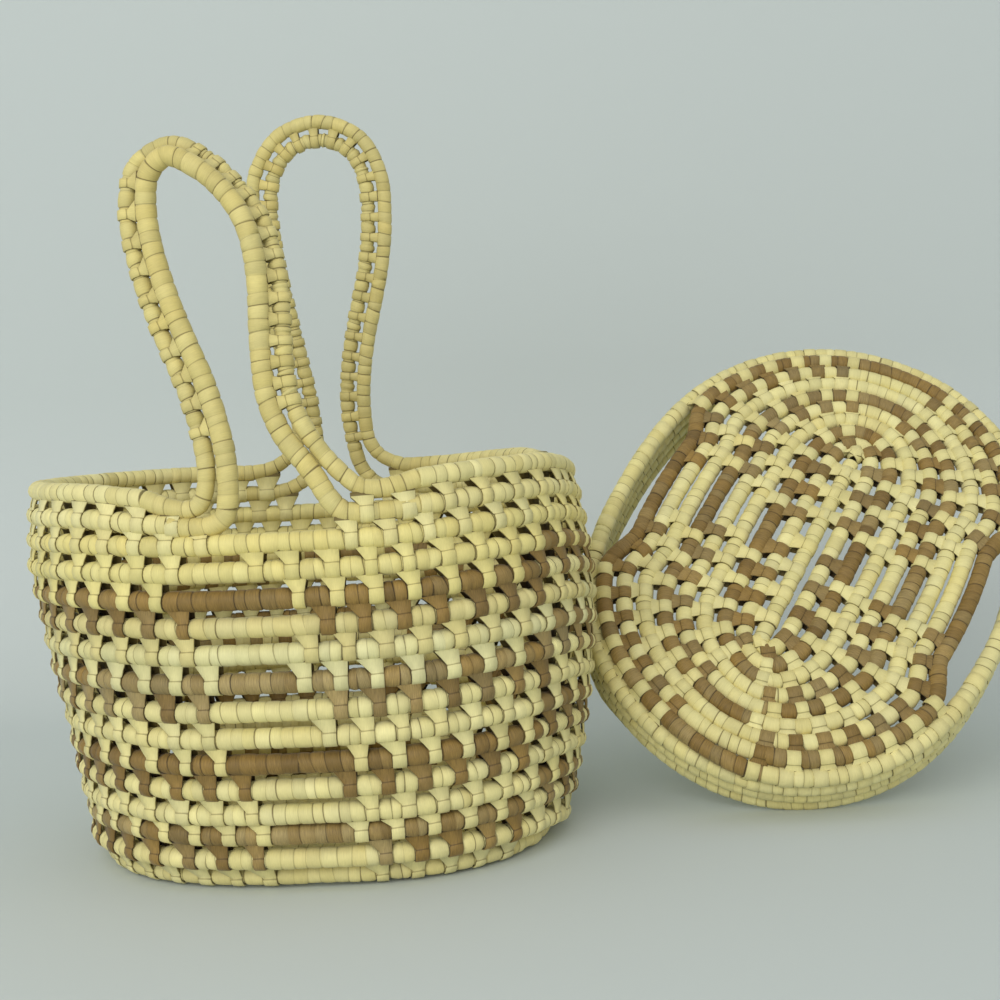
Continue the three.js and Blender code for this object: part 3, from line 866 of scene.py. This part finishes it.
def weave_wall():
    for row in range(1, WALL_ROWS - 1):
        weave_row(f"wall_wraps_{row:02d}", f"wall_coil_{row:02d}", row - 1 + TURN_CUT, row + TURN_CUT,
                  wall_place, WALL_STITCHES - 1, (COIL_HALF_WIDTH, COIL_HALF_HEIGHT),
                  GREYNESS.get(row, 0.3), tint=row_tint(row))
        if row > 1:
            wall_row_stitches(row)


def strand_line(handle, which, shares):
    """A strand between its feet: x, height above the rim and how far it is behind the line."""
    fine = spline(handle["line"], DENSE)
    along = unit(np.gradient(fine, axis=0))
    offset = STRAND_OFFSET if which == "outer" else -STRAND_OFFSET
    every = np.linspace(0, 1, DENSE + 1)
    twist = np.radians(np.interp(every, TWIST_AT, handle["twist"]))
    across = np.stack([-along[:, 1], along[:, 0]], -1) * (offset * np.cos(twist))[:, None]
    places = np.column_stack([fine + across, offset * np.sin(twist)])
    return blend(shares, every, places)


def strand_points(handle, which):
    left, right = (np.column_stack([foot, np.zeros(len(foot))]) for foot in handle[which])
    return np.vstack([left, strand_line(handle, which, np.linspace(0, 1, LINE_STEPS + 1)), right])


def in_space(points, row, behind):
    """Strand points in space, over their row and leaning in over the basket."""
    sign = 1 if behind else -1
    out = []
    for x, z, shift in points:
        y = basket_point(turns_at_x(row, x, behind))[1]
        out.append((x, y - sign * (HANDLE_LEAN * max(0, z) + shift), RIM_HEIGHT + z))
    return np.array(out)


def strand_path(handle, which, behind):
    """A strand's line in space: it leaves its rim row, rises and comes back to the same row."""
    row = STRAND_ROWS[which]
    points = strand_points(handle, which)
    path = in_space(points, row, behind)
    for end in (0, -1):
        path[end] = basket_point(turns_at_x(row, points[end][0], behind))
    return path


def weave_rim():
    for level, which in ((WALL_ROWS - 1, "inner"), (WALL_ROWS, "outer")):
        label = "lower" if which == "inner" else "upper"
        front, back = strand_points(FRONT_HANDLE, which), strand_points(BACK_HANDLE, which)
        end = level - 1 + TIP_SHARE if which == "outer" else level + TURN_CUT
        stops = (
            level - 1 + TURN_CUT, turns_at_x(level, front[-1][0], False),
            turns_at_x(level, front[0][0], False), turns_at_x(level, back[0][0], True),
            turns_at_x(level, back[-1][0], True), end,
        )
        for side, a, b in (("front_right", 0, 1), ("left", 2, 3), ("back_right", 4, 5)):
            tip = TIP_TAPER if side == "back_right" and which == "outer" else None
            weave_row(f"rim_{label}_{side}_wraps", f"rim_{label}_{side}", stops[a], stops[b],
                      wall_place, TOP_STITCHES - 1, (COIL_HALF_WIDTH, COIL_HALF_HEIGHT), taper=tip)
    wall_row_stitches(WALL_ROWS - 1)
    row_stitches(WALL_ROWS, "rim_stitches", TOP_STITCHES)


def top_stitch_turns():
    """Stitches of the top row, outside the handles' feet."""
    row = WALL_ROWS
    spans = (
        (row - 1 + TURN_CUT + 0.01, turns_at_x(row, TOP_FRONT_GAP[1], False)),
        (turns_at_x(row, TOP_FRONT_GAP[0], False), turns_at_x(row, TOP_BACK_GAP[0], True)),
        (turns_at_x(row, TOP_BACK_GAP[1], True), row - 1 + TIP_SHARE - 0.02),
    )
    found = []
    for a, b in spans:
        ra, rb = BASKET.run_at(a), BASKET.run_at(b)
        runs = np.linspace(ra, rb, max(2, int(round((rb - ra) / STITCH_PITCH)) + 1))
        found.append(np.interp(runs, BASKET.run, BASKET.turns))
    return np.concatenate(found)


TOP_STITCHES = top_stitch_turns()


def weave_handle(name, handle, behind):
    facing = np.array([0, 1.0 if behind else -1.0, 0])
    radii = handle["radii"]
    routes = {
        which: PointRoute(spline(strand_path(handle, which, behind), STRAND_STEPS), facing)
        for which in STRAND_ROWS
    }
    bands = {"outer": [], "inner": []}
    line = spline(handle["line"], DENSE)
    length = np.linalg.norm(np.diff(line, axis=0), axis=1).sum()
    for k, (start, end, pitch, bound, fan, lean) in enumerate(handle["stitches"]):
        shares = np.arange(start, end, pitch / length)
        places = {
            which: in_space(strand_line(handle, which, shares), STRAND_ROWS[which], behind)
            for which in STRAND_ROWS
        }
        other = "inner" if bound == "outer" else "outer"
        low, high = places[bound], places[other]
        sizes = tuple((radii[which], radii[which]) for which in (bound, other))
        stitches(f"{name}_stitches_{k + 1}", low, high, -unit(np.gradient(low, axis=0)), False,
                 "basket", sizes, lean, fan=fan, band=HANDLE_BAND, tint=HANDLE_TINT)
        spots = routes[bound].values[0]
        for p in low:
            bands[bound].append(routes[bound].run[np.linalg.norm(spots - p, axis=1).argmin()])
    for which, route in routes.items():
        wound_coil(f"{name}_{which}_wraps", route, plain, "basket",
                   f"{name}_{which}_strand", radii[which], radii[which], bands[which],
                   bead=HANDLE_BEAD, foot=HANDLE_FOOT, tint=HANDLE_TINT)


def lid_axes():
    lean, tilt, turned = (math.radians(v) for v in (LID_LEAN_DEG, LID_TILT_DEG, LID_TURN_DEG))
    slope = np.array([0, math.sin(lean), math.cos(lean)])
    level = np.array([1.0, 0, 0])
    u = slope * math.cos(tilt) + level * math.sin(tilt)
    v = level * math.cos(tilt) - slope * math.sin(tilt)
    spin = np.array(Matrix.Rotation(turned, 3, "Z"))
    u, v = spin @ u, spin @ v
    w = np.cross(v, u)
    low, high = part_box("lid_start_run")
    centre = np.array((low + high) / 2) / MM
    return centre, -u, -v, w


LID_CENTRE, LID_U, LID_V, LID_W = lid_axes()


def lid_edge(row):
    """The lid's edge in section: how far in from the ring, how deep, and how far it has turned."""
    along = np.maximum(0, row - LID_COILS) * SKIRT_PITCH
    angle = np.clip((along - LID_EDGE_FLAT) / LID_EDGE_RADIUS, 0, math.pi / 2)
    straight = np.maximum(0, along - LID_EDGE_FLAT - LID_EDGE_RADIUS * math.pi / 2)
    out = np.minimum(along, LID_EDGE_FLAT) + LID_EDGE_RADIUS * np.sin(angle)
    inset = LID_EDGE_FLAT + LID_EDGE_RADIUS - out
    return inset, -LID_EDGE_RADIUS * (1 - np.cos(angle)) - straight, angle


def plan_out(plan, turns):
    p = plan(turns)
    step = plan(turns + TURN_STEP) - plan(turns - TURN_STEP)
    side = unit(np.stack([step[..., 1], -step[..., 0]], -1))
    return side * np.sign(np.sum(side * p, -1))[..., None]


def ring_plan(turns):
    return oval(turns, RING_RADIUS, START_HALF_RUN)


def lid_plan(turns):
    row = level_at(turns)
    ring = ring_plan(turns)
    past_end = (SLOT_HALF_LENGTH - np.abs(ring[..., 0])) / (SLOT_HALF_LENGTH * SLOT_END_SHARE)
    share = np.minimum(1, row / LID_COILS)
    bow = SLOT_BOW * smooth(past_end) * share * np.clip(LID_COILS + 1 - row, 0, 1)
    edge = ring - plan_out(ring_plan, turns) * (lid_edge(row)[0] + bow)[..., None]
    start = oval(turns, 0, LID_START_HALF_RUN)
    return start * (1 - share)[..., None] * np.array([1, 0]) + edge * share[..., None]


def lid_point(turns):
    plan = lid_plan(turns)
    depth = lid_edge(level_at(turns))[1]
    return LID_CENTRE + plan[..., :1] * LID_U + plan[..., 1:] * LID_V + depth[..., None] * LID_W


def lid_place(turns):
    turns = np.asarray(turns, float)
    p = lid_point(turns)
    along = unit(lid_point(turns + TURN_STEP) - lid_point(turns - TURN_STEP))
    side = plan_out(lid_plan, turns)
    out = side[..., :1] * LID_U + side[..., 1:] * LID_V
    angle = lid_edge(level_at(turns))[2][..., None]
    facing = np.sin(angle) * out + np.cos(angle) * LID_W
    away = np.cos(angle) * out - np.sin(angle) * LID_W
    return p, along, facing, away


LID_LAST = LID_COILS + 1 + SKIRT_ROWS
LID = Route(lid_place, 1 + CLIMB_HALF_SHARE, LID_LAST + TIP_SHARE)


def lid_stitch_turns():
    """Between the free runs at the ends of both axes, stitches stand evenly."""
    found = []
    edges = []
    for quarter in range(LID_FIRST_QUARTER, 4 * LID_LAST):
        middle = quarter / 4 + rng.uniform(-0.008, 0.008)
        row = middle - 1
        half = LID_FREE_HALF * min(1, 0.25 + 0.1 * row) * rng.uniform(0.8, 1.2)
        run = LID.run_at(middle)
        edges.append((run - half, run + half))
    for (_, a), (b, _) in zip(edges[:-1], edges[1:]):
        a, b = a + STITCH_EDGE, b - STITCH_EDGE
        if b < a:
            continue
        count = max(1, int(round((b - a) / LID_STITCH_PITCH)) + 1)
        runs = np.linspace(a, b, count) if count > 1 else np.array([(a + b) / 2])
        found.append(np.interp(runs, LID.run, LID.turns))
    return np.concatenate(found)


LID_STITCHES = lid_stitch_turns()


def lid_row_stitches(turn, brown):
    """Stitches that leave one turn for the turn inside it, and where they go round that one."""
    t = LID_STITCHES
    chosen = t[(t >= turn + TURN_CUT) & (t < turn + 1 + TURN_CUT)]
    low = lid_point(chosen - 1)
    if turn == 1:
        u = np.clip(lid_plan(chosen)[:, 0], -LID_START_HALF_RUN, LID_START_HALF_RUN)
        low = LID_CENTRE + u[:, None] * LID_U
    high = lid_point(chosen)
    near = np.linalg.norm(high - low, axis=1) < LID_STITCH_REACH
    size = (LID_HALF_WIDTH, LID_HALF_HEIGHT)
    stitches(f"lid_stitches_{turn}", low[near], high[near], lid_place(chosen[near])[1], brown,
             "lid", (size, size), 0.5, fan=LID_FAN, band=LID_BAND)
    return chosen[near] - 1


def lid_node(turn):
    if turn <= LID_COILS:
        return f"lid_coil_{turn}"
    return "lid_ring_coil" if turn == LID_COILS + 1 else f"lid_skirt_coil_{turn - LID_COILS - 1}"


def weave_lid():
    turns = range(1, LID_LAST + 1)
    bands = np.concatenate([lid_row_stitches(turn, turn in LID_BROWN) for turn in turns][1:])
    plan = hooked(LID_HOOK, LID_START_HALF_RUN - 2 * LID_HALF_WIDTH, 0)
    route = PointRoute(LID_CENTRE + plan @ np.array([LID_U, LID_V, LID_W]), LID_W)
    wound_coil("lid_start_wraps", route, plain, "lid", "lid_start_run",
               LID_HALF_WIDTH, LID_HALF_HEIGHT)
    for turn in turns:
        start = turn + (CLIMB_HALF_SHARE if turn == 1 else TURN_CUT)
        end = turn + (TIP_SHARE if turn == LID_LAST else 1 + TURN_CUT)
        node = lid_node(turn)
        route = Route(lid_place, start, end)
        near = [route.run_at(t) for t in bands if start < t < end]
        dyed = turn in LID_BROWN
        wound_coil(f"{node}_wraps", route, lambda runs, dyed=dyed: np.full(len(runs), dyed), "lid",
                   node, LID_HALF_WIDTH, LID_HALF_HEIGHT, near,
                   taper=TIP_TAPER if turn == LID_LAST else None)


# The photograph's point of view: place in mm, heading and pitch in degrees
CAMERA_PLACE = (147.65, -744.64, 229.89)
CAMERA_HEADING = -4
CAMERA_PITCH = 4.53
CAMERA_ROLL = 3.10
CAMERA_FOCAL = 1.46317
SENSOR = 36

# The stage, in metres: the floor runs back and curves up into a backdrop
FLOOR_FRONT = -2.5
FLOOR_BACK = 0.26
FLOOR_HALF_WIDTH = 3.5
BACKDROP_CURVE = 0.24
BACKDROP_HEIGHT = 3.0
KEY_PLACE = (-0.35, -1.7, 0.95)
KEY_AIM = (0.12, 0.0, 0.15)
KEY_SIZE = (1.6, 1.1)


def placed(place, right, up, forward):
    """A lamp's or the camera's place and its directions as a matrix."""
    turned = Matrix(np.stack([right, up, -forward], -1).tolist()).to_4x4()
    return Matrix.Translation(place) @ turned


def look():
    heading, pitch, roll = (math.radians(v) for v in (CAMERA_HEADING, CAMERA_PITCH, CAMERA_ROLL))
    forward = np.array([
        math.sin(heading) * math.cos(pitch), math.cos(heading) * math.cos(pitch), -math.sin(pitch),
    ])
    right = unit(np.cross(forward, [0, 0, 1]))
    up = np.cross(right, forward)
    cos, sin = math.cos(roll), math.sin(roll)
    right, up = right * cos - up * sin, up * cos + right * sin
    return placed([v * MM for v in CAMERA_PLACE], right, up, forward)


def build_camera(scene):
    camera = bpy.data.objects.new("camera", bpy.data.cameras.new("camera"))
    camera.matrix_world = look()
    camera.data.sensor_width = SENSOR
    camera.data.lens = CAMERA_FOCAL * SENSOR
    scene.collection.objects.link(camera)
    scene.camera = camera


def build_floor(scene, colour):
    mesh = bpy.data.meshes.new("floor")
    outline = [(FLOOR_FRONT, 0), (FLOOR_BACK, 0)]
    outline += [
        (FLOOR_BACK + BACKDROP_CURVE * math.sin(a), BACKDROP_CURVE * (1 - math.cos(a)))
        for a in np.linspace(0, math.pi / 2, 13)[1:]
    ]
    outline.append((FLOOR_BACK + BACKDROP_CURVE, BACKDROP_HEIGHT))
    verts = [(x, y, z) for y, z in outline for x in (-FLOOR_HALF_WIDTH, FLOOR_HALF_WIDTH)]
    faces = [(2 * i, 2 * i + 1, 2 * i + 3, 2 * i + 2) for i in range(len(outline) - 1)]
    mesh.from_pydata(verts, [], faces)
    for polygon in mesh.polygons:
        polygon.use_smooth = True
    floor = bpy.data.objects.new("floor", mesh)
    scene.collection.objects.link(floor)
    paper = bpy.data.materials.new("backdrop_paper")
    paper.use_nodes = True
    shader = paper.node_tree.nodes["Principled BSDF"]
    shader.inputs["Base Color"].default_value = (*colour, 1)
    shader.inputs["Roughness"].default_value = 0.75
    shader.inputs["Specular IOR Level"].default_value = 0.2
    mesh.materials.append(paper)


def build_light(scene, power, strength):
    world = bpy.data.worlds.new("studio")
    world.use_nodes = True
    world.node_tree.nodes["Background"].inputs["Color"].default_value = (1, 1, 1, 1)
    world.node_tree.nodes["Background"].inputs["Strength"].default_value = strength
    scene.world = world
    lamp = bpy.data.lights.new("key", "AREA")
    lamp.shape = "RECTANGLE"
    lamp.size, lamp.size_y = KEY_SIZE
    lamp.energy = power
    key = bpy.data.objects.new("key", lamp)
    towards = unit(np.array(KEY_AIM) - np.array(KEY_PLACE))
    right = unit(np.cross(towards, [0, 0, 1]))
    key.matrix_world = placed(KEY_PLACE, right, np.cross(right, towards), towards)
    scene.collection.objects.link(key)


def build_stage():
    scene = bpy.context.scene
    settings = scene.basket_stage
    build_camera(scene)
    build_floor(scene, settings.floor)
    build_light(scene, settings.key, settings.fill)
    scene.view_settings.view_transform = "Standard"


class BASKET_OT_base(bpy.types.Operator):
    """Weave the flat oval spiral of the base"""
    bl_idname = "basket.base"
    bl_label = "Weave the base"

    def execute(self, context):
        weave_base()
        return {"FINISHED"}


class BASKET_OT_wall(bpy.types.Operator):
    """Weave the wall's rows and their stitches"""
    bl_idname = "basket.wall"
    bl_label = "Weave the wall"

    def execute(self, context):
        weave_wall()
        return {"FINISHED"}


class BASKET_OT_rim(bpy.types.Operator):
    """Weave the two rows of the rim"""
    bl_idname = "basket.rim"
    bl_label = "Weave the rim"

    def execute(self, context):
        weave_rim()
        return {"FINISHED"}


class BASKET_OT_handles(bpy.types.Operator):
    """Weave the front and back handles"""
    bl_idname = "basket.handles"
    bl_label = "Weave the handles"

    def execute(self, context):
        weave_handle("front_handle", FRONT_HANDLE, False)
        weave_handle("back_handle", BACK_HANDLE, True)
        return {"FINISHED"}


class BASKET_OT_lid(bpy.types.Operator):
    """Weave the lid's panel, ring and skirt"""
    bl_idname = "basket.lid"
    bl_label = "Weave the lid"

    def execute(self, context):
        weave_lid()
        return {"FINISHED"}


class BASKET_OT_stage(bpy.types.Operator):
    """Set the floor, the lamps and the camera"""
    bl_idname = "basket.stage"
    bl_label = "Set the stage"

    def execute(self, context):
        build_stage()
        return {"FINISHED"}


class BASKET_PT_panel(bpy.types.Panel):
    """Lists the steps that make the basket"""
    bl_idname = "BASKET_PT_panel"
    bl_label = "Coiled basket"
    bl_space_type = "VIEW_3D"
    bl_region_type = "UI"
    bl_category = "Basket"

    def draw(self, context):
        layout = self.layout
        for settings in (context.scene.basket_leaf, context.scene.basket_stage):
            box = layout.box()
            for name in settings.__annotations__:
                box.prop(settings, name)
        for operator in OPERATORS:
            layout.operator(operator.bl_idname)


OPERATORS = (
    BASKET_OT_stage, BASKET_OT_base, BASKET_OT_wall, BASKET_OT_rim, BASKET_OT_handles, BASKET_OT_lid,
)
CLASSES = (LeafSettings, StageSettings, *OPERATORS, BASKET_PT_panel)


def register():
    for cls in CLASSES:
        bpy.utils.register_class(cls)
    bpy.types.Scene.basket_leaf = PointerProperty(type=LeafSettings)
    bpy.types.Scene.basket_stage = PointerProperty(type=StageSettings)


def unregister():
    del bpy.types.Scene.basket_stage
    del bpy.types.Scene.basket_leaf
    for cls in reversed(CLASSES):
        bpy.utils.unregister_class(cls)


def main():
    register()
    bpy.ops.basket.stage()
    bpy.ops.basket.base()
    bpy.ops.basket.wall()
    bpy.ops.basket.rim()
    bpy.ops.basket.handles()
    bpy.ops.basket.lid()


if __name__ == "__main__":
    main()
